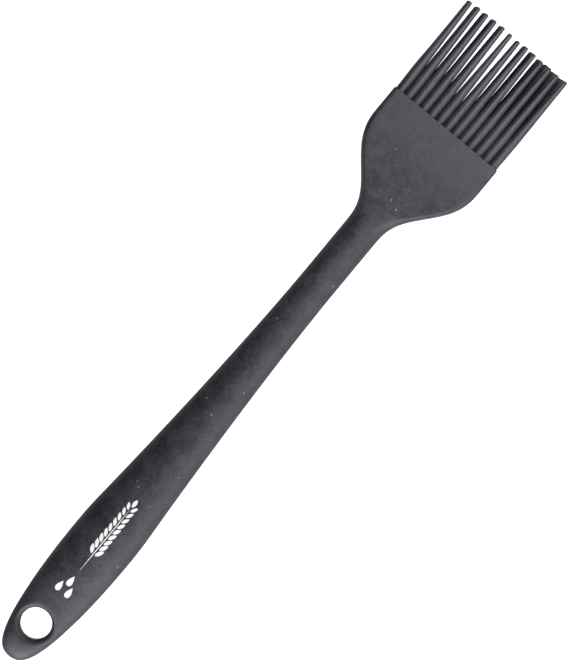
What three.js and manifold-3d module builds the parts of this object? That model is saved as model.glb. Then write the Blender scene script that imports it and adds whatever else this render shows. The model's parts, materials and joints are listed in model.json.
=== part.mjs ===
// Silicone pastry brush: a soft jacket moulded over a stiff core, with rows of tapered bristles
// standing in the mouth of its flat head, and a hanging hole through the end of its handle.
// Millimetres, +Z up. The brush lies on its back with its bristles towards +Y, and the origin
// is on the surface it lies on, under the middle of its length.
import * as THREE from 'three';
import { mergeVertices } from 'three/addons/utils/BufferGeometryUtils.js';
import Module from 'manifold-3d';

// Bristles
const bristleColumns = 13;
const bristleRows = 4;
const bristleLength = 38.1; // from the mouth to the tip
const bristleRootDiameter = 2.9;
const bristleTipDiameter = 1.55;
const bristleGap = 0.4; // between neighbours in a row, at their roots
const flexAngle = 25; // degrees each way that the rows lean about their roots
const rowClearance = 0.1; // left between two rows that lean all the way

// Mouth of the head and the block behind the bristles
const lipWall = 0.55; // silicone round the bristles
const lipClearance = 0.15; // between the lip and the outermost bristles that lean all the way
const baseThickness = 4;
const fitGap = 0.3; // between pieces that touch

// Lengths of the jacket, from the end of the handle to the mouth
const endLength = 48; // from the end to the widest place of the grip
const gripLength = 7; // the grip at its full width
const taperLength = 105; // from the grip down to the shaft
const shaftLength = 23; // the slim shaft behind the head
const shoulderLength = 34.3; // from the shaft out to the head
const headLength = 9.6; // the head at its full width
const flattenLength = 16; // from the shaft to where the shoulder is flat on both faces

// Widths and thicknesses of the jacket
const gripWidth = 22.6;
const gripThickness = 14;
const shaftWidth = 12.5;
const shaftThickness = 10.5;
const eyeThickness = 6.6; // at the end of the handle, round the hanging hole
const endFullness = 0.345; // how square the end of the handle looks from above: 0.5 is an ellipse
const endRound = 8; // rounding of the end, seen from the side
const eyeSquareness = 0.67; // how square the end's section is: 1 is an ellipse, and less is squarer
const taperPower = 1.6; // how late the taper swells into the grip

// Hanging hole
const holeDiameter = 10.8;
const holePlace = 14.5; // from the end of the handle
const holeRound = 1.2; // soft edge of the hole
const eyeWall = 4; // solid silicone between the hole and the core

// Core
const skin = 2; // least silicone over the core
const coreThickness = 5.6;
const coreEndRound = 6;

// Keys: pillars of silicone through the core that hold the jacket on it
const keyDiameter = 5;
const keyEdge = 9; // from either end of the core to its nearest keys
const gripKeys = 3;
const gripKeySpacing = 22;
const paddleKeys = 3;
const paddleKeySpacing = 11;

// Fineness of the curved faces
const jacketSides = 28;
const coreSides = 16;
const bristleSides = 8;
const holeSides = 24;
const keySides = 12;
const jacketRings = { end: 13, grip: 1, taper: 8, shaft: 1, shoulder: 12 };
const coreRings = { end: 4, handle: 6, shaft: 1, shoulder: 8 };
const holeEdgeSteps = 3;
const bristleEdgeSteps = 1;
const blunt = 0.05; // keeps the very end of a rounded piece from closing to a point
const centred = 1e-6; // a share of the width this small lies on the middle line

const bristleRadius = bristleRootDiameter / 2;
const bristlePitch = bristleRootDiameter + bristleGap;
const leanCosine = Math.cos(THREE.MathUtils.degToRad(flexAngle));
const rowPitch = (bristleRootDiameter + rowClearance) / leanCosine;
const mouthHalfWidth = (bristleColumns - 1) / 2 * bristlePitch + bristleRadius + lipClearance;
const mouthHalfThickness = (bristleRows - 1) / 2 * rowPitch + bristleRadius / leanCosine + lipClearance;
const headWidth = 2 * (mouthHalfWidth + lipWall);
const headThickness = 2 * (mouthHalfThickness + lipWall);
const headCorner = bristleRadius + lipWall;
const recess = bristleRadius + fitGap; // depth of the mouth in front of the block

const shaftPlace = endLength + gripLength + taperLength;
const shoulderPlace = shaftPlace + shaftLength;
const headPlace = shoulderPlace + shoulderLength;
const mouthPlace = headPlace + headLength;
const basePlace = mouthPlace - recess - baseThickness;
const corePlace = holePlace + holeDiameter / 2 + eyeWall;
const coreEndPlace = basePlace - fitGap;

const wasm = await Module();
wasm.setup();

const silicone = { color: 0x4b494e, roughness: 0.6, metalness: 0 };
const glassFilledNylon = { color: 0xb9b6ad, roughness: 0.5, metalness: 0 };
const bristleSilicone = { color: 0x3f3d43, roughness: 0.45, metalness: 0 };

function named(name, geometry, finish) {
  const mesh = new THREE.Mesh(geometry, new THREE.MeshStandardMaterial(finish));
  mesh.name = name;
  return mesh;
}

// A closed geometry as a solid that can be cut and joined, and back again.
function toSolid(geometry) {
  const plain = geometry.clone();
  plain.deleteAttribute('normal');
  plain.deleteAttribute('uv');
  const merged = mergeVertices(plain);
  const vertProperties = new Float32Array(merged.attributes.position.array);
  const triVerts = new Uint32Array(merged.index.array);
  return new wasm.Manifold(new wasm.Mesh({ numProp: 3, vertProperties, triVerts }));
}

function toGeometry(solid) {
  const { vertProperties, triVerts } = solid.getMesh();
  const geometry = new THREE.BufferGeometry();
  geometry.setAttribute('position', new THREE.BufferAttribute(vertProperties, 3));
  geometry.setIndex(new THREE.BufferAttribute(triVerts, 1));
  geometry.computeVertexNormals();
  return geometry;
}

// Evenly spaced places from one to another, the first left out.
function evenPlaces(from, to, steps) {
  return Array.from({ length: steps }, (_, i) => THREE.MathUtils.lerp(from, to, (i + 1) / steps));
}

// Places from one to another that crowd towards the first, as round an end, the first left out.
function roundPlaces(from, to, steps) {
  return evenPlaces(0, Math.PI / 2, steps).map((angle) => to - (to - from) * Math.cos(angle));
}

// Share of the full size at a place behind a rounded end of a given radius.
function endShare(distance, radius) {
  const inside = THREE.MathUtils.clamp(1 - Math.max(distance, blunt) / radius, 0, 1);
  return Math.sqrt(1 - inside ** 2);
}

// How far the end of the handle has swelled into the grip at a place: 0 to 1.
function endSwell(place) {
  return THREE.MathUtils.smoothstep(place, 0, endLength);
}

// How far the handle has swelled from the shaft to the grip at a place: 0 to 1.
function swell(place) {
  return THREE.MathUtils.clamp((shaftPlace - place) / taperLength, 0, 1) ** taperPower;
}

// How far the shoulder has opened from the shaft to the head at a place: 0 to 1.
function opening(place) {
  return THREE.MathUtils.smootherstep(place, shoulderPlace, headPlace);
}

// How flat the shoulder's faces are at a place: 0 is an ellipse and 1 a slab with rounded edges.
function flatness(place) {
  return THREE.MathUtils.smoothstep(place, shoulderPlace, shoulderPlace + flattenLength);
}

function jacketWidth(place) {
  if (place < endLength) {
    const inside = (endLength - Math.max(place, blunt)) / endLength;
    return gripWidth * (1 - inside ** 2) ** endFullness;
  }
  if (place < shoulderPlace) {
    return THREE.MathUtils.lerp(shaftWidth, gripWidth, swell(place));
  }
  return THREE.MathUtils.lerp(shaftWidth, headWidth, opening(place));
}

function jacketThickness(place) {
  if (place < endLength) {
    return THREE.MathUtils.lerp(eyeThickness, gripThickness, endSwell(place)) * endShare(place, endRound);
  }
  if (place < shoulderPlace) {
    return THREE.MathUtils.lerp(shaftThickness, gripThickness, swell(place));
  }
  return THREE.MathUtils.lerp(shaftThickness, headThickness, opening(place));
}

// The jacket's cross-section: an ellipse along the handle, a slab with rounded edges at the head.
function jacketSection(place) {
  return {
    halfWidth: jacketWidth(place) / 2,
    halfThickness: jacketThickness(place) / 2,
    corner: headCorner,
    slab: flatness(place),
    power: THREE.MathUtils.lerp(eyeSquareness, 1, endSwell(place)),
  };
}

// The core's cross-section, or that of the cavity round it: the jacket's, less a wall.
function coreSection(place, start, wall, halfThickness) {
  const outer = jacketSection(place);
  const share = endShare(place - start, coreEndRound);
  return {
    halfWidth: (outer.halfWidth - wall) * share,
    halfThickness: Math.min(outer.halfThickness - wall, halfThickness),
    corner: headCorner,
    slab: outer.slab,
    power: outer.power,
  };
}

// One coordinate of a ring's point, between a squared ellipse and a rounded slab.
function ringCoordinate(unit, half, corner, slab, power) {
  const side = Math.abs(unit) < centred ? 0 : Math.sign(unit);
  const rounded = side * (half - corner) + corner * unit;
  return THREE.MathUtils.lerp(half * side * Math.abs(unit) ** power, rounded, slab);
}

// A closed body along Y, with a ring of a given cross-section at each place.
function loft(places, sides, sectionAt) {
  const lastRing = places.length - 1;
  const geometry = new THREE.CylinderGeometry(1, 1, 1, sides, lastRing);
  const { position } = geometry.attributes;
  for (let i = 0; i < position.count; i += 1) {
    const place = places[Math.round((position.getY(i) + 0.5) * lastRing)];
    const { halfWidth, halfThickness, corner, slab, power } = sectionAt(place);
    const roundness = Math.min(corner, halfWidth, halfThickness);
    const x = ringCoordinate(position.getX(i), halfWidth, roundness, slab, power);
    const z = ringCoordinate(position.getZ(i), halfThickness, roundness, slab, power);
    position.setXYZ(i, x, place, z);
  }
  return geometry;
}

// A slab with rounded corners that fills the mouth, less a gap all round it.
function mouthSlab(from, to, gap) {
  const section = {
    halfWidth: mouthHalfWidth - gap,
    halfThickness: mouthHalfThickness - gap,
    corner: bristleRadius - gap,
    slab: 1,
    power: 1,
  };
  return loft([from, to], jacketSides, () => section);
}

// The hanging hole's cutter: a round bar that widens to a soft edge at both faces.
function holeCutter() {
  const radius = holeDiameter / 2;
  const face = jacketThickness(holePlace) / 2;
  const edge = new THREE.Path();
  edge.moveTo(0, -face - holeRound);
  edge.lineTo(radius + holeRound, -face - holeRound);
  edge.lineTo(radius + holeRound, -face);
  edge.absarc(radius + holeRound, -face + holeRound, holeRound, -Math.PI / 2, -Math.PI, true);
  edge.absarc(radius + holeRound, face - holeRound, holeRound, Math.PI, Math.PI / 2, true);
  edge.lineTo(radius + holeRound, face + holeRound);
  edge.lineTo(0, face + holeRound);
  const cutter = new THREE.LatheGeometry(edge.getPoints(holeEdgeSteps), holeSides);
  return cutter.rotateX(Math.PI / 2).translate(0, holePlace, 0);
}

function jacket() {
  const places = [
    0,
    ...roundPlaces(0, endLength, jacketRings.end),
    ...evenPlaces(endLength, endLength + gripLength, jacketRings.grip),
    ...evenPlaces(endLength + gripLength, shaftPlace, jacketRings.taper),
    ...evenPlaces(shaftPlace, shoulderPlace, jacketRings.shaft),
    ...evenPlaces(shoulderPlace, headPlace, jacketRings.shoulder),
    mouthPlace,
  ];
  const skinSolid = toSolid(loft(places, jacketSides, jacketSection));
  const mouth = toSolid(mouthSlab(basePlace - fitGap, mouthPlace + recess, 0));
  const hole = toSolid(holeCutter());
  return toGeometry(skinSolid.subtract(mouth).subtract(coreBody(fitGap)).subtract(hole));
}

// Where the keys cross the core: a line of them down the grip, and a line across the paddle.
function keyPositions() {
  const grip = Array.from({ length: gripKeys }, (_, i) => [0, corePlace + keyEdge + i * gripKeySpacing]);
  const paddle = Array.from({ length: paddleKeys }, (_, i) => [
    (i - (paddleKeys - 1) / 2) * paddleKeySpacing,
    coreEndPlace - keyEdge,
  ]);
  return [...grip, ...paddle];
}

// The core, or the cavity that it fills when it is grown by a gap. The keys pass through both.
function coreBody(growth) {
  const start = corePlace - growth;
  const places = [
    start,
    ...roundPlaces(start, start + coreEndRound, coreRings.end),
    ...evenPlaces(start + coreEndRound, shaftPlace, coreRings.handle),
    ...evenPlaces(shaftPlace, shoulderPlace, coreRings.shaft),
    ...evenPlaces(shoulderPlace, headPlace, coreRings.shoulder),
    coreEndPlace + growth,
  ];
  const wall = skin + fitGap - growth;
  const halfThickness = coreThickness / 2 + growth;
  let body = toSolid(loft(places, coreSides, (place) => coreSection(place, start, wall, halfThickness)));
  const keyRadius = keyDiameter / 2 + fitGap - growth;
  for (const [x, place] of keyPositions()) {
    const key = new THREE.CylinderGeometry(keyRadius, keyRadius, 2 * coreThickness, keySides);
    body = body.subtract(toSolid(key.rotateX(Math.PI / 2).translate(x, place, 0)));
  }
  return body;
}

// One bristle, its ball root on the origin and its rounded tip towards +Y.
function bristle() {
  const tipRadius = bristleTipDiameter / 2;
  const tipCentre = bristleLength - tipRadius;
  const outline = new THREE.Path();
  outline.absarc(0, 0, bristleRadius, -Math.PI / 2, 0, false);
  outline.absarc(0, tipCentre, tipRadius, 0, Math.PI / 2, false);
  return new THREE.LatheGeometry(outline.getPoints(bristleEdgeSteps), bristleSides);
}

// A row of bristles whose roots lie on the line that the row leans about.
function bristleRow(rowNumber) {
  const row = new THREE.Group();
  for (let column = 1; column <= bristleColumns; column += 1) {
    const number = String(column).padStart(2, '0');
    const mesh = named(`bristle_row${rowNumber}_${number}`, bristle(), bristleSilicone);
    mesh.position.x = (column - (bristleColumns + 1) / 2) * bristlePitch;
    row.add(mesh);
  }
  row.position.set(0, mouthPlace, ((bristleRows + 1) / 2 - rowNumber) * rowPitch);
  return row;
}

const brush = new THREE.Group();
brush.add(named('silicone_jacket', jacket(), silicone));
brush.add(named('stiffening_core', toGeometry(coreBody(0)), glassFilledNylon));
brush.add(named('bristle_base', mouthSlab(basePlace, basePlace + baseThickness, fitGap), bristleSilicone));
for (let rowNumber = 1; rowNumber <= bristleRows; rowNumber += 1) {
  brush.add(bristleRow(rowNumber));
}
brush.position.set(0, -(mouthPlace + bristleLength) / 2, headThickness / 2);

export default brush;
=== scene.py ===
import bmesh
import bpy
import json
import math
import random
from mathutils import Matrix, Vector


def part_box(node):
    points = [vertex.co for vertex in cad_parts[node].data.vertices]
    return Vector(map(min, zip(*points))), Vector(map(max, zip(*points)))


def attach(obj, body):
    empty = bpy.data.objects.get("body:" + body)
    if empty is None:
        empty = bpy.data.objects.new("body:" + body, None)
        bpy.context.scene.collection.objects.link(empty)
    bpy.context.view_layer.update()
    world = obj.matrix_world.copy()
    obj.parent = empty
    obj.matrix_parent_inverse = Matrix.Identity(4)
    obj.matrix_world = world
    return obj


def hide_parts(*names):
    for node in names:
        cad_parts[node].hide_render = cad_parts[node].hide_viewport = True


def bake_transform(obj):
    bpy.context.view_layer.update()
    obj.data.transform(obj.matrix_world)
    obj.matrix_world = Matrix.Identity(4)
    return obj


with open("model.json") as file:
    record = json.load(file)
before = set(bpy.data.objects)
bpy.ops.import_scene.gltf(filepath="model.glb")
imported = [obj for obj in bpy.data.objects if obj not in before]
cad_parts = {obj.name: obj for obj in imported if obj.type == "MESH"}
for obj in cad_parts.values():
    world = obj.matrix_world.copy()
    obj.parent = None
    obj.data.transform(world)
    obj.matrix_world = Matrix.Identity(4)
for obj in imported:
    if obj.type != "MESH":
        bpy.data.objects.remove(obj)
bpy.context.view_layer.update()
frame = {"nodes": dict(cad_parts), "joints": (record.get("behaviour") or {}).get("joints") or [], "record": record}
mm = 0.001

# where things are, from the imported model
joints = {joint["name"]: joint for joint in frame["joints"]}
mouthY = joints["row_1_flex"]["pos_m"][1] / mm
jacketLow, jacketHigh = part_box("silicone_jacket")
endY = jacketLow.y / mm
middleZ = (jacketLow.z + jacketHigh.z) / 2 / mm
holeLow, holeHigh = [Vector(corner) for corner in frame["record"]["physics"]["openings"][0]["box_m"]]
holePlace = (holeLow.y + holeHigh.y) / 2 / mm - endY
mouthPlace = mouthY - endY


def clamp(value, low=0.0, high=1.0):
    return max(low, min(high, value))


def mix(a, b, share):
    return a + (b - a) * share


def smooth(share):
    share = clamp(share)
    return share * share * (3 - 2 * share)


def smoother(share):
    share = clamp(share)
    return share ** 3 * (share * (share * 6 - 15) + 10)


def newPiece(name, bm, material, body=None, levels=0):
    mesh = bpy.data.meshes.new(name)
    bm.to_mesh(mesh)
    bm.free()
    for face in mesh.polygons:
        face.use_smooth = True
    piece = bpy.data.objects.new(name, mesh)
    bpy.context.scene.collection.objects.link(piece)
    mesh.materials.append(material)
    if levels:
        softening = piece.modifiers.new("softening", "SUBSURF")
        softening.levels = levels
        softening.render_levels = levels
    if body:
        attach(piece, body)
    return piece


# materials: two shared groups, then one recipe with a look for each

def newGroup(name, inputs, outputs):
    group = bpy.data.node_groups.new(name, "ShaderNodeTree")
    for label, kind, value in inputs:
        socket = group.interface.new_socket(label, in_out="INPUT", socket_type=kind)
        if value is not None:
            socket.default_value = value
    for label, kind in outputs:
        group.interface.new_socket(label, in_out="OUTPUT", socket_type=kind)
    return group, group.nodes.new("NodeGroupInput"), group.nodes.new("NodeGroupOutput")


def addNode(tree, kind, settings=None, values=None):
    node = tree.nodes.new(kind)
    for key, value in (settings or {}).items():
        setattr(node, key, value)
    for key, value in (values or {}).items():
        node.inputs[key].default_value = value
    return node


# moulded grain: a fine pitted height, and a tone from slow mottling and small dapples
def makeGrainGroup():
    group, given, out = newGroup(
        "mouldedGrain",
        [("Vector", "NodeSocketVector", None), ("Pit Scale", "NodeSocketFloat", 3200.0),
         ("Mottle Scale", "NodeSocketFloat", 200.0), ("Dapple Scale", "NodeSocketFloat", 900.0)],
        [("Height", "NodeSocketFloat"), ("Tone", "NodeSocketFloat")])
    pits = addNode(group, "ShaderNodeTexNoise", values={"Detail": 3.0, "Roughness": 0.6})
    mottle = addNode(group, "ShaderNodeTexNoise", values={"Detail": 3.0, "Roughness": 0.55})
    dapple = addNode(group, "ShaderNodeTexNoise", values={"Detail": 2.0, "Roughness": 0.6})
    both = addNode(group, "ShaderNodeMath", {"operation": "ADD"})
    tone = addNode(group, "ShaderNodeMapRange", values={"From Min": 0.80, "From Max": 1.20})
    link = group.links.new
    for noise, scale in ((pits, "Pit Scale"), (mottle, "Mottle Scale"), (dapple, "Dapple Scale")):
        link(given.outputs["Vector"], noise.inputs["Vector"])
        link(given.outputs[scale], noise.inputs["Scale"])
    link(mottle.outputs["Fac"], both.inputs[0])
    link(dapple.outputs["Fac"], both.inputs[1])
    link(both.outputs[0], tone.inputs["Value"])
    link(pits.outputs["Fac"], out.inputs["Height"])
    link(tone.outputs["Result"], out.inputs["Tone"])
    return group


# lint: a few tiny pale specks, as silicone always picks up
def makeLintGroup():
    group, given, out = newGroup(
        "lint",
        [("Vector", "NodeSocketVector", None), ("Spacing Scale", "NodeSocketFloat", 120.0),
         ("Speck Size", "NodeSocketFloat", 0.05), ("Share", "NodeSocketFloat", 0.2)],
        [("Mask", "NodeSocketFloat")])
    cells = addNode(group, "ShaderNodeTexVoronoi")
    near = addNode(group, "ShaderNodeMath", {"operation": "LESS_THAN"})
    split = addNode(group, "ShaderNodeSeparateColor")
    chosen = addNode(group, "ShaderNodeMath", {"operation": "LESS_THAN"})
    both = addNode(group, "ShaderNodeMath", {"operation": "MULTIPLY"})
    link = group.links.new
    link(given.outputs["Vector"], cells.inputs["Vector"])
    link(given.outputs["Spacing Scale"], cells.inputs["Scale"])
    link(cells.outputs["Distance"], near.inputs[0])
    link(given.outputs["Speck Size"], near.inputs[1])
    link(cells.outputs["Color"], split.inputs["Color"])
    link(split.outputs["Red"], chosen.inputs[0])
    link(given.outputs["Share"], chosen.inputs[1])
    link(near.outputs[0], both.inputs[0])
    link(chosen.outputs[0], both.inputs[1])
    link(both.outputs[0], out.inputs["Mask"])
    return group


grainGroup = makeGrainGroup()
lintGroup = makeLintGroup()

siliconeLook = {
    "dark": (0.020, 0.0167, 0.023, 1), "light": (0.040, 0.035, 0.046, 1), "lint": (0.15, 0.15, 0.16, 1),
    "roughLow": 0.46, "roughHigh": 0.56, "pitScale": 3600.0, "mottleScale": 210.0, "dappleScale": 900.0,
    "bump": 0.10, "lintShare": 0.4, "lintSize": 0.078, "lintScale": 230.0,
    "bumpDistance": 0.0001, "sheen": (1.0, 0.97, 1.06, 1),
}
bristleLook = dict(siliconeLook, dark=(0.032, 0.0275, 0.036, 1), light=(0.047, 0.0415, 0.053, 1),
                   roughLow=0.36, roughHigh=0.46, bump=0.06, lintShare=0.04)
baseLook = dict(siliconeLook, dark=(0.030, 0.028, 0.034, 1), light=(0.036, 0.034, 0.040, 1))
nylonLook = dict(siliconeLook, dark=(0.40, 0.39, 0.35, 1), light=(0.50, 0.49, 0.45, 1),
                 lint=(0.62, 0.61, 0.58, 1), roughLow=0.38, roughHigh=0.55, pitScale=1400.0)
inkLook = dict(siliconeLook, dark=(0.78, 0.78, 0.78, 1), light=(0.88, 0.88, 0.88, 1),
               lint=(0.55, 0.55, 0.56, 1), roughLow=0.45, roughHigh=0.6, bump=0.05)


def makeMoulded(name, look):
    material = bpy.data.materials.new(name)
    material.use_nodes = True
    tree = material.node_tree
    shader = tree.nodes["Principled BSDF"]
    shader.inputs["Specular Tint"].default_value = look["sheen"]
    place = addNode(tree, "ShaderNodeTexCoord")
    grain = addNode(tree, "ShaderNodeGroup", {"node_tree": grainGroup},
                    {"Pit Scale": look["pitScale"], "Mottle Scale": look["mottleScale"],
                     "Dapple Scale": look["dappleScale"]})
    lint = addNode(tree, "ShaderNodeGroup", {"node_tree": lintGroup},
                   {"Spacing Scale": look["lintScale"], "Speck Size": look["lintSize"],
                    "Share": look["lintShare"]})
    tint = addNode(tree, "ShaderNodeMix", {"data_type": "RGBA"})
    tint.inputs[6].default_value = look["dark"]
    tint.inputs[7].default_value = look["light"]
    specks = addNode(tree, "ShaderNodeMix", {"data_type": "RGBA"})
    specks.inputs[7].default_value = look["lint"]
    gloss = addNode(tree, "ShaderNodeMapRange",
                    values={"To Min": look["roughLow"], "To Max": look["roughHigh"]})
    bump = addNode(tree, "ShaderNodeBump",
                   values={"Strength": look["bump"], "Distance": look["bumpDistance"]})
    link = tree.links.new
    link(place.outputs["Object"], grain.inputs["Vector"])
    link(place.outputs["Object"], lint.inputs["Vector"])
    link(grain.outputs["Tone"], tint.inputs[0])
    link(tint.outputs[2], specks.inputs[6])
    link(lint.outputs["Mask"], specks.inputs[0])
    link(specks.outputs[2], shader.inputs["Base Color"])
    link(grain.outputs["Tone"], gloss.inputs["Value"])
    link(gloss.outputs["Result"], shader.inputs["Roughness"])
    link(grain.outputs["Height"], bump.inputs["Height"])
    link(bump.outputs["Normal"], shader.inputs["Normal"])
    return material


jacketSilicone = makeMoulded("jacketSilicone", siliconeLook)
bristleSilicone = makeMoulded("bristleSilicone", bristleLook)
baseSilicone = makeMoulded("baseSilicone", baseLook)
coreNylon = makeMoulded("coreNylon", nylonLook)
whiteInk = makeMoulded("whiteInk", inkLook)
print("materials made")

# jacket: handle, neck and flat head in one soft skin, mm from the end of the handle

jacketShape = {
    "endLength": 48.0, "gripLength": 7.0, "taperLength": 105.0, "shaftLength": 23.0,
    "shoulderLength": 34.3,
    "gripWidth": 22.6, "gripThickness": 14.0, "shaftWidth": 12.5, "shaftThickness": 10.5,
    "flattenLength": 16.0, "taperPower": 1.6, "endFullness": 0.345, "endRound": 8.0,
    "eyeThickness": 6.6, "eyeSquareness": 0.67, "corner": 1.6, "lipWall": 0.45, "skin": 1.9,
    "cavityHalfThickness": 3.1, "cavityEndRound": 6.0,
    "pocketDepth": 6.05, "holeRadius": 5.35, "holeRound": 1.5, "eyeWall": 3.5, "blunt": 0.05,
    "headWidth": (jacketHigh.x - jacketLow.x) / mm, "headThickness": (jacketHigh.z - jacketLow.z) / mm,
}
# how finely the skin is divided, and how close points are to be welded, mm
skinMesh = {
    "across": 24, "sideSteps": 2, "cornerSteps": 5, "cornerShare": 0.9, "lipStart": 0.6,
    "endRings": 6, "gripRings": 1, "taperRings": 14, "shaftRings": 3, "shoulderRings": 17, "headRings": 3,
    "paddleRings": 10, "coreShaftRings": 1, "coreRings": 7, "coreEndRings": 5, "coreEndLength": 8,
    "cutPast": 3.6, "outlineSpokes": 30, "boreSteps": 2, "edgeSteps": 3, "spokeSteps": 6,
    "spokeCrowding": 1.6, "softening": 2, "reachLimit": 60.0, "reachHalvings": 40,
    "weld": 0.002, "sliver": 0.0005,
}
# the lip in section: how far behind the mouth, and how far in through the lip's wall, as a share
lipProfile = ((0.25, 0.0), (0.06, 0.13), (0.0, 0.44), (0.08, 0.8), (0.4, 1.0), (1.6, 1.0))
pocketRings = (0.25, 0.0)  # ahead of the pocket's floor, to keep its corner crisp

shaftPlace = jacketShape["endLength"] + jacketShape["gripLength"] + jacketShape["taperLength"]
shoulderPlace = shaftPlace + jacketShape["shaftLength"]
headPlace = shoulderPlace + jacketShape["shoulderLength"]
cutPlace = holePlace + jacketShape["holeRadius"] + skinMesh["cutPast"]


def halfWidthAt(place):
    shape = jacketShape
    if place < shape["endLength"]:
        inside = (shape["endLength"] - max(place, shape["blunt"])) / shape["endLength"]
        return shape["gripWidth"] / 2 * (1 - inside ** 2) ** shape["endFullness"]
    if place < shoulderPlace:
        swell = clamp((shaftPlace - place) / shape["taperLength"]) ** shape["taperPower"]
        return mix(shape["shaftWidth"], shape["gripWidth"], swell) / 2
    opened = smoother((place - shoulderPlace) / shape["shoulderLength"])
    return mix(shape["shaftWidth"], shape["headWidth"], opened) / 2


def halfThicknessAt(place):
    shape = jacketShape
    if place < shape["endLength"]:
        share = smooth(place / shape["endLength"])
        inside = clamp(1 - max(place, shape["blunt"]) / shape["endRound"])
        return mix(shape["eyeThickness"], shape["gripThickness"], share) / 2 * math.sqrt(1 - inside ** 2)
    if place < shoulderPlace:
        swell = clamp((shaftPlace - place) / shape["taperLength"]) ** shape["taperPower"]
        return mix(shape["shaftThickness"], shape["gripThickness"], swell) / 2
    opened = smoother((place - shoulderPlace) / shape["shoulderLength"])
    return mix(shape["shaftThickness"], shape["headThickness"], opened) / 2


# how square the section is: 1 is an ellipse, as in the grip, and the end round the hole is squarer
def powerAt(place):
    return mix(jacketShape["eyeSquareness"], 1.0, smooth(place / jacketShape["endLength"]))


# one ring of the skin: an ellipse along the handle, a slab with round corners at the head
def ringAt(place, wall=0.0, cap=math.inf, share=1.0):
    return {"place": place, "halfWidth": (halfWidthAt(place) - wall) * share,
            "halfThickness": min(halfThicknessAt(place) - wall, cap),
            "corner": jacketShape["corner"] - min(wall, jacketShape["lipWall"]), "power": powerAt(place),
            "slab": smooth((place - shoulderPlace) / jacketShape["flattenLength"])}


def slabPoint(step, ring):
    across, sideSteps, cornerSteps = skinMesh["across"], skinMesh["sideSteps"], skinMesh["cornerSteps"]
    faceStart = sideSteps + cornerSteps
    side = 1 if step <= across / 2 else -1
    step = min(step, across - step)
    width, height = ring["halfWidth"], ring["halfThickness"]
    corner = min(ring["corner"], width * skinMesh["cornerShare"], height * skinMesh["cornerShare"])
    if step <= sideSteps:
        return side * width, (height - corner) * step / sideSteps
    if step <= faceStart:
        turn = math.radians(90) * (step - sideSteps) / cornerSteps
        return side * (width - corner * (1 - math.cos(turn))), height - corner * (1 - math.sin(turn))
    turn = math.radians(90) * (step - faceStart) / (across / 2 - faceStart)
    return side * (width - corner) * math.cos(turn), height


def ringPoint(step, ring):
    turn = math.pi * step / skinMesh["across"]
    slabX, slabZ = slabPoint(step, ring)
    wide = math.copysign(abs(math.cos(turn)) ** ring["power"], math.cos(turn))
    high = abs(math.sin(turn)) ** ring["power"]
    x = mix(ring["halfWidth"] * wide, slabX, ring["slab"])
    z = mix(ring["halfThickness"] * high, slabZ, ring["slab"])
    return Vector((x, endY + ring["place"], z))


def surfaceHeight(x, place):
    inside = clamp(1 - (abs(x) / halfWidthAt(place)) ** (2 / powerAt(place)))
    return halfThicknessAt(place) * inside ** (powerAt(place) / 2)


def evenPlaces(start, end, count):
    return [mix(start, end, (i + 1) / count) for i in range(count)]


# the front half of the skin, from the cut behind the hole to the mouth, round the lip and back
# inside as the wall of the cavity that the core fills
def skinRings():
    shape = jacketShape
    gripEnd = shape["endLength"] + shape["gripLength"]
    places = [cutPlace]
    places += evenPlaces(cutPlace, shape["endLength"], skinMesh["endRings"])
    places += evenPlaces(shape["endLength"], gripEnd, skinMesh["gripRings"])
    places += evenPlaces(gripEnd, shaftPlace, skinMesh["taperRings"])
    places += evenPlaces(shaftPlace, shoulderPlace, skinMesh["shaftRings"])
    places += evenPlaces(shoulderPlace, headPlace, skinMesh["shoulderRings"])
    places += evenPlaces(headPlace, mouthPlace - skinMesh["lipStart"], skinMesh["headRings"])
    rings = [ringAt(place) for place in places]
    pocketPlace = mouthPlace - shape["pocketDepth"]
    for back, share in lipProfile:
        rings.append(ringAt(mouthPlace - back, shape["lipWall"] * share))
    for ahead in pocketRings:
        rings.append(ringAt(pocketPlace + ahead, shape["lipWall"]))
    corePlace = holePlace + shape["holeRadius"] + shape["eyeWall"]
    coreEnd = corePlace + skinMesh["coreEndLength"]
    inner = [pocketPlace] + evenPlaces(pocketPlace, shoulderPlace, skinMesh["paddleRings"])
    inner += evenPlaces(shoulderPlace, shaftPlace, skinMesh["coreShaftRings"])
    inner += evenPlaces(shaftPlace, coreEnd, skinMesh["coreRings"])
    inner += evenPlaces(coreEnd, corePlace, skinMesh["coreEndRings"])
    for place in inner:
        past = clamp(1 - max(place - corePlace, shape["blunt"]) / shape["cavityEndRound"])
        rings.append(ringAt(place, shape["skin"], shape["cavityHalfThickness"], math.sqrt(1 - past ** 2)))
    rings.append(dict(rings[-1], halfThickness=0.0))
    return rings


def addSkinGrid(bm):
    rings = skinRings()
    across = skinMesh["across"]
    grid = bmesh.ops.create_grid(bm, x_segments=across, y_segments=len(rings) - 1, size=1.0)
    for vert in grid["verts"]:
        step = round((vert.co.x + 1) / 2 * across)
        row = round((vert.co.y + 1) / 2 * (len(rings) - 1))
        vert.co = ringPoint(step, rings[row])


# how far the handle's outline lies from the middle of the hole, in a direction
def outlineReach(turn):
    near, far = 0.0, skinMesh["reachLimit"]
    for _ in range(skinMesh["reachHalvings"]):
        reach = (near + far) / 2
        place = holePlace + reach * math.sin(turn)
        inside = place > 0 and abs(reach * math.cos(turn)) < halfWidthAt(place)
        near, far = (reach, far) if inside else (near, reach)
    return near


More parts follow.
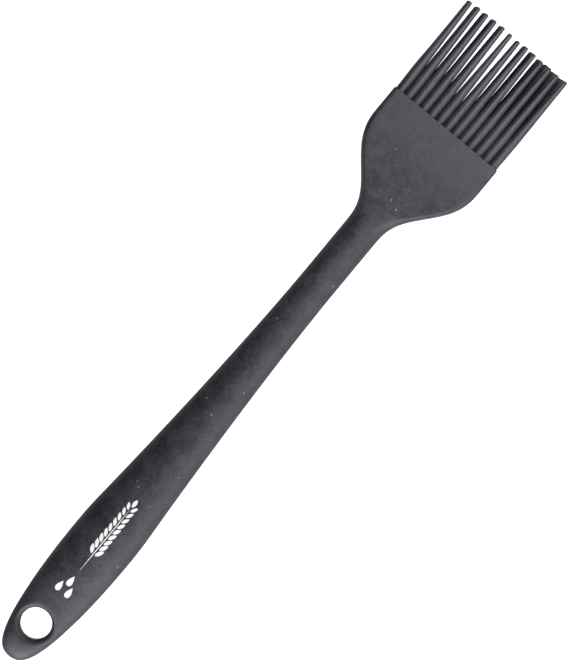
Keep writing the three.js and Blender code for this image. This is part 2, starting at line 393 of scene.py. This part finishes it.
# the eye: spokes from the rounded rim of the hole out to the outline, and to the cut
def addEyeGrid(bm):
    across = skinMesh["across"]
    outline = skinMesh["outlineSpokes"]
    radius, rounding = jacketShape["holeRadius"], jacketShape["holeRound"]
    cutRing = ringAt(cutPlace)
    rims = []
    for step in range(across + 1):
        point = ringPoint(step, cutRing)
        rims.append((point.x, cutPlace - holePlace))
    startTurn = math.atan2(rims[-1][1], rims[-1][0])
    endTurn = math.atan2(rims[0][1], rims[0][0]) + 2 * math.pi
    for step in range(1, outline):
        turn = mix(startTurn, endTurn, step / outline)
        reach = outlineReach(turn)
        rims.append((reach * math.cos(turn), reach * math.sin(turn)))
    rims.append(rims[0])
    boreSteps = skinMesh["boreSteps"]
    rimSteps = boreSteps + skinMesh["edgeSteps"]
    steps = rimSteps + skinMesh["spokeSteps"]
    grid = bmesh.ops.create_grid(bm, x_segments=len(rims) - 1, y_segments=steps, size=1.0)
    for vert in grid["verts"]:
        spoke = round((vert.co.x + 1) / 2 * (len(rims) - 1))
        step = round((vert.co.y + 1) / 2 * steps)
        rim = Vector(rims[spoke])
        ahead = rim.normalized()
        edge = ahead * (radius + rounding)
        edgeHeight = surfaceHeight(edge.x, holePlace + edge.y)
        if step <= boreSteps:
            flat = ahead * radius
            height = (edgeHeight - rounding) * step / boreSteps
        elif step <= rimSteps:
            turn = math.radians(90) * (step - boreSteps) / skinMesh["edgeSteps"]
            flat = ahead * (radius + rounding * (1 - math.cos(turn)))
            height = edgeHeight - rounding * (1 - math.sin(turn))
        else:
            share = 1 - (1 - (step - rimSteps) / skinMesh["spokeSteps"]) ** skinMesh["spokeCrowding"]
            flat = edge.lerp(rim, share)
            height = surfaceHeight(flat.x, holePlace + flat.y)
            if step == steps and not 0 < spoke < across:
                height = 0.0
        vert.co = Vector((flat.x, endY + holePlace + flat.y, height))


def makeJacket():
    bm = bmesh.new()
    addSkinGrid(bm)
    addEyeGrid(bm)
    bmesh.ops.remove_doubles(bm, verts=bm.verts, dist=skinMesh["weld"])
    bmesh.ops.mirror(bm, geom=bm.verts[:] + bm.edges[:] + bm.faces[:], matrix=Matrix.Identity(4),
                     merge_dist=skinMesh["weld"], axis="Z")
    bmesh.ops.remove_doubles(bm, verts=bm.verts, dist=skinMesh["weld"])
    bmesh.ops.dissolve_degenerate(bm, edges=bm.edges, dist=skinMesh["sliver"])
    bmesh.ops.translate(bm, verts=bm.verts, vec=(0, 0, middleZ))
    bmesh.ops.scale(bm, verts=bm.verts, vec=(mm, mm, mm))
    bmesh.ops.recalc_face_normals(bm, faces=bm.faces)
    openEdges = [edge for edge in bm.edges if not edge.is_manifold]
    print("jacket: %d faces, %d open edges" % (len(bm.faces), len(openEdges)))
    jacket = newPiece("siliconeJacket", bm, jacketSilicone, "handle_and_head",
                      levels=skinMesh["softening"])
    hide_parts("silicone_jacket")


makeJacket()

# printed mark: an ear of wheat and three drops, in white ink on the front of the grip

markShape = {
    "earStart": 37.5, "earEnd": 67.5, "grains": 9, "grainLength": 3.3, "grainWidth": 1.35,
    "grainLean": 28.0, "spread": 1.5, "stemWidth": 0.34, "dropPlace": 30.8, "dropLength": 4.0,
    "dropWidth": 2.8, "dropRing": 2.3, "firstGrain": 8.5, "lastGrain": 3.2, "topGrain": 1.4,
    "topShare": 0.9, "smallest": 0.8, "stemShort": 3.5, "pinch": 0.35, "dropTaper": 0.7,
    "drops": 3, "filmHeight": 0.03, "sides": 20,
}


# lays a flat outline of ink on the skin, point by point
def layOnSkin(bm):
    for vert in bm.verts:
        vert.co.z = surfaceHeight(vert.co.x, vert.co.y) + markShape["filmHeight"] + middleZ
        vert.co.y += endY
    bmesh.ops.scale(bm, verts=bm.verts, vec=(mm, mm, mm))


# one blob of ink: an ellipse, drawn out to a point at its far end when it is a drop
def addBlob(mark, length, width, turn, at, pointed):
    bm = bmesh.new()
    bmesh.ops.create_circle(bm, cap_ends=True, cap_tris=True, segments=markShape["sides"], radius=1.0)
    bmesh.ops.subdivide_edges(bm, edges=bm.edges, cuts=1, use_grid_fill=True)
    for vert in bm.verts:
        ahead = vert.co.y
        if pointed:
            narrow = ((1 - ahead) / 2) ** markShape["dropTaper"]
        else:
            narrow = 1 - markShape["pinch"] * ahead ** 2
        vert.co = Vector((vert.co.x * width / 2 * narrow, ahead * length / 2, 0))
    bmesh.ops.rotate(bm, verts=bm.verts, matrix=Matrix.Rotation(turn, 3, "Z"))
    bmesh.ops.translate(bm, verts=bm.verts, vec=(at[0], at[1], 0))
    blob = bpy.data.meshes.new("blob")
    bm.to_mesh(blob)
    bm.free()
    mark.from_mesh(blob)
    bpy.data.meshes.remove(blob)


def makeMark():
    shape = markShape
    mark = bmesh.new()
    steps = shape["grains"] - 1
    lean = math.radians(shape["grainLean"])
    for number in range(shape["grains"]):
        place = mix(shape["earStart"] + shape["firstGrain"], shape["earEnd"] - shape["lastGrain"],
                    number / steps)
        size = mix(1.0, shape["smallest"], number / steps)
        for side in (-1, 1):
            at = (side * shape["spread"] * size, place)
            addBlob(mark, shape["grainLength"] * size, shape["grainWidth"] * size, -side * lean, at, False)
    addBlob(mark, shape["grainLength"] * shape["topShare"], shape["grainWidth"], 0.0,
            (0, shape["earEnd"] - shape["topGrain"]), False)
    stemLength = shape["earEnd"] - shape["stemShort"] - shape["earStart"]
    addBlob(mark, stemLength, shape["stemWidth"], 0.0, (0, shape["earStart"] + stemLength / 2), False)
    for number in range(shape["drops"]):
        turn = math.radians(360 * number / shape["drops"])
        at = (-math.sin(turn) * shape["dropRing"], shape["dropPlace"] + math.cos(turn) * shape["dropRing"])
        addBlob(mark, shape["dropLength"], shape["dropWidth"], 0.0, at, True)
    layOnSkin(mark)
    newPiece("printedMark", mark, whiteInk, body="handle_and_head")


makeMark()
print("mark printed")

# bristles: tapered fingers in rows, one piece for each row, each finger leaning out from its root

bristleShape = {
    "rootDiameter": 3.31, "tipDiameter": 1.6, "straight": 0.8, "fullLength": 12.0, "depthShare": 0.80,
    "rings": 14, "sides": 20, "tipSteps": 3, "tipCap": 0.5, "fan": 0.036, "stepBack": 0.28, "seed": 7,
    "recess": 1.72, "bendLength": 13.0, "fullShare": 0.985, "weld": 0.004,
    "sideJitter": 0.08, "depthJitter": 0.12, "lengthJitter": 0.3, "bowMost": -0.14, "bowLeast": -0.04,
    "bowReach": 1.9, "leanPower": 1.1,
}
# how far the tips of the back row stand to the left of the front row's in each column, mm
columnDrift = (0.7, 0.85, 0.95, 0.9, 0.85, 0.1, 0.15, 0.8, 1.25, 1.1, 1.9, 2.0, 1.9)
rowShare = (0.0, 0.5, 0.82, 1.0)  # how much of that each row takes
# and how much shorter each column stands, mm
columnShort = (0.3, 0.1, 0.2, 0.1, 0.0, 0.0, 0.2, 0.2, 0.3, 0.6, 0.5, 0.8, 0.7)
rowCount = 4
columnCount = len(columnDrift)


# one finger, pointing along Y from the middle of its root, spun from its outline
def addFinger(comb, root, length, bend):
    shape = bristleShape
    rootRadius, tipRadius = shape["rootDiameter"] / 2, shape["tipDiameter"] / 2
    outline = [(0.0, 0.0), (rootRadius, 0.0), (rootRadius, shape["straight"]),
               (rootRadius * shape["fullShare"], shape["fullLength"]),
               (tipRadius, length - shape["tipCap"])]
    for step in range(1, shape["tipSteps"] + 1):
        turn = math.radians(90) * step / shape["tipSteps"]
        outline.append((tipRadius * math.cos(turn), length - shape["tipCap"] * (1 - math.sin(turn))))
    bm = bmesh.new()
    verts = [bm.verts.new((x, y, 0.0)) for x, y in outline]
    edges = [bm.edges.new(pair) for pair in zip(verts, verts[1:])]
    bmesh.ops.subdivide_edges(bm, edges=edges[2:4], cuts=shape["rings"])
    bmesh.ops.spin(bm, geom=bm.verts[:] + bm.edges[:], cent=(0, 0, 0), axis=(0, 1, 0), dvec=(0, 0, 0),
                   angle=2 * math.pi, steps=shape["sides"], use_merge=True)
    bmesh.ops.remove_doubles(bm, verts=bm.verts, dist=shape["weld"])
    for vert in bm.verts:
        vert.co.z *= shape["depthShare"]  # leaves the rows room to lean
        vert.co += root + bend(clamp(vert.co.y / length))
    finger = bpy.data.meshes.new("finger")
    bm.to_mesh(finger)
    bm.free()
    comb.from_mesh(finger)
    bpy.data.meshes.remove(finger)


def makeBristleRow(row, chance):
    shape = bristleShape
    bm = bmesh.new()
    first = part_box("bristle_row%d_01" % row)
    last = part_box("bristle_row%d_%02d" % (row, columnCount))
    firstX = (first[0].x + first[1].x) / 2 / mm
    lastX = (last[0].x + last[1].x) / 2 / mm
    rowZ = (first[0].z + first[1].z) / 2 / mm
    length = (first[1].y / mm - mouthY) + shape["recess"]
    sideways, inwards = shape["sideJitter"], shape["depthJitter"]
    for column, drift in enumerate(columnDrift):
        x = mix(firstX, lastX, column / (columnCount - 1))
        leanX = x * shape["fan"] - drift * rowShare[row - 1] + chance.uniform(-sideways, sideways)
        lean = Vector((leanX, 0, chance.uniform(-inwards, inwards)))
        bow = 0.0 if row == 1 else chance.uniform(shape["bowMost"], shape["bowLeast"])
        finger = length + shape["stepBack"] * (row - 1)
        finger -= columnShort[column] + chance.uniform(0.0, shape["lengthJitter"])

        def bend(share):
            sway = bow * math.sin(math.pi * min(1.0, share * shape["bowReach"]))
            return lean * share ** shape["leanPower"] + Vector((sway, 0, 0))

        addFinger(bm, Vector((x, mouthY - shape["recess"], rowZ)), finger, bend)
    bmesh.ops.scale(bm, verts=bm.verts, vec=(mm, mm, mm))
    bmesh.ops.recalc_face_normals(bm, faces=bm.faces)
    piece = newPiece("bristleRow%d" % row, bm, bristleSilicone)
    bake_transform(piece)
    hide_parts(*["bristle_row%d_%02d" % (row, number + 1) for number in range(columnCount)])


chance = random.Random(bristleShape["seed"])
for row in range(1, rowCount + 1):
    makeBristleRow(row, chance)
print("bristles made")

# the pieces that keep their CAD shape

for node, material in (("stiffening_core", coreNylon), ("bristle_base", baseSilicone)):
    mesh = frame["nodes"][node].data
    mesh.materials.clear()
    mesh.materials.append(material)

# stage: the floor is lower than the brush, so that the rows have room to flex down
stageLook = {
    "size": 6.0, "drop": 0.018, "color": (0.5, 0.5, 0.5, 1), "white": 1.0, "bounce": 0.12,
    "worldStrength": 0.035, "roughness": 0.9,
}


# white where it is looked at, and dimmer where it lights the brush
def whiteToCamera(tree, socket, dim):
    rays = addNode(tree, "ShaderNodeLightPath")
    glow = addNode(tree, "ShaderNodeMapRange", values={"To Min": dim, "To Max": stageLook["white"]})
    tree.links.new(rays.outputs["Is Camera Ray"], glow.inputs["Value"])
    tree.links.new(glow.outputs["Result"], socket)


def makeSweepMaterial():
    material = bpy.data.materials.new("paleSweep")
    material.use_nodes = True
    tree = material.node_tree
    shader = tree.nodes["Principled BSDF"]
    shader.inputs["Base Color"].default_value = stageLook["color"]
    shader.inputs["Roughness"].default_value = stageLook["roughness"]
    shader.inputs["Specular IOR Level"].default_value = 0.0
    shader.inputs["Emission Color"].default_value = (1, 1, 1, 1)
    whiteToCamera(tree, shader.inputs["Emission Strength"], stageLook["bounce"])
    return material


def makeStage():
    bm = bmesh.new()
    bmesh.ops.create_grid(bm, x_segments=1, y_segments=1, size=stageLook["size"] / 2)
    bmesh.ops.translate(bm, verts=bm.verts, vec=(0, 0, -stageLook["drop"]))
    mesh = bpy.data.meshes.new("floor")
    bm.to_mesh(mesh)
    bm.free()
    mesh.materials.append(makeSweepMaterial())
    floor = bpy.data.objects.new("floor", mesh)
    bpy.context.scene.collection.objects.link(floor)
    world = bpy.data.worlds.new("studio")
    bpy.context.scene.world = world
    world.use_nodes = True
    sky = world.node_tree.nodes["Background"]
    sky.inputs["Color"].default_value = (1, 1, 1, 1)
    whiteToCamera(world.node_tree, sky.inputs["Strength"], stageLook["worldStrength"])


softboxes = {
    "endSoftbox": {"from": (0.28, -0.80, 0.54), "distance": 0.6, "aim": (0, -0.09, 0.01), "size": 0.4,
                   "power": 4.5},
    "sideSoftbox": {"from": (0.80, -0.32, 0.46), "distance": 0.9, "aim": (0, 0, 0.01), "size": 0.9,
                    "power": 7.3},
    "headSoftbox": {"from": (0.20, 0.36, 0.91), "distance": 0.25, "aim": (0, 0.10, 0.01), "size": 0.2,
                    "power": 0.6},
}


def addSoftbox(name, box):
    light = bpy.data.lights.new(name, "AREA")
    light.shape = "SQUARE"
    light.size = box["size"]
    light.energy = box["power"]
    holder = bpy.data.objects.new(name, light)
    direction = Vector(box["from"]).normalized()
    holder.location = Vector(box["aim"]) + direction * box["distance"]
    holder.rotation_euler = direction.to_track_quat("Z", "Y").to_euler()
    bpy.context.scene.collection.objects.link(holder)


cameraView = {
    "roll": 39.69, "across": 1.65, "along": 8.87, "frameHeight": 219.9, "lens": 180.0, "sensor": 36.0,
}


def addCamera():
    camera = bpy.data.cameras.new("camera")
    camera.lens = cameraView["lens"]
    camera.sensor_width = cameraView["sensor"]
    holder = bpy.data.objects.new("camera", camera)
    distance = cameraView["frameHeight"] * cameraView["lens"] / cameraView["sensor"]
    holder.location = Vector((cameraView["across"], cameraView["along"], middleZ + distance)) * mm
    holder.rotation_euler = (0, 0, math.radians(cameraView["roll"]))
    bpy.context.scene.collection.objects.link(holder)
    bpy.context.scene.camera = holder


makeStage()
for name, box in softboxes.items():
    addSoftbox(name, box)
addCamera()
bpy.context.scene.view_settings.view_transform = "Standard"
print("stage, lights and camera set")
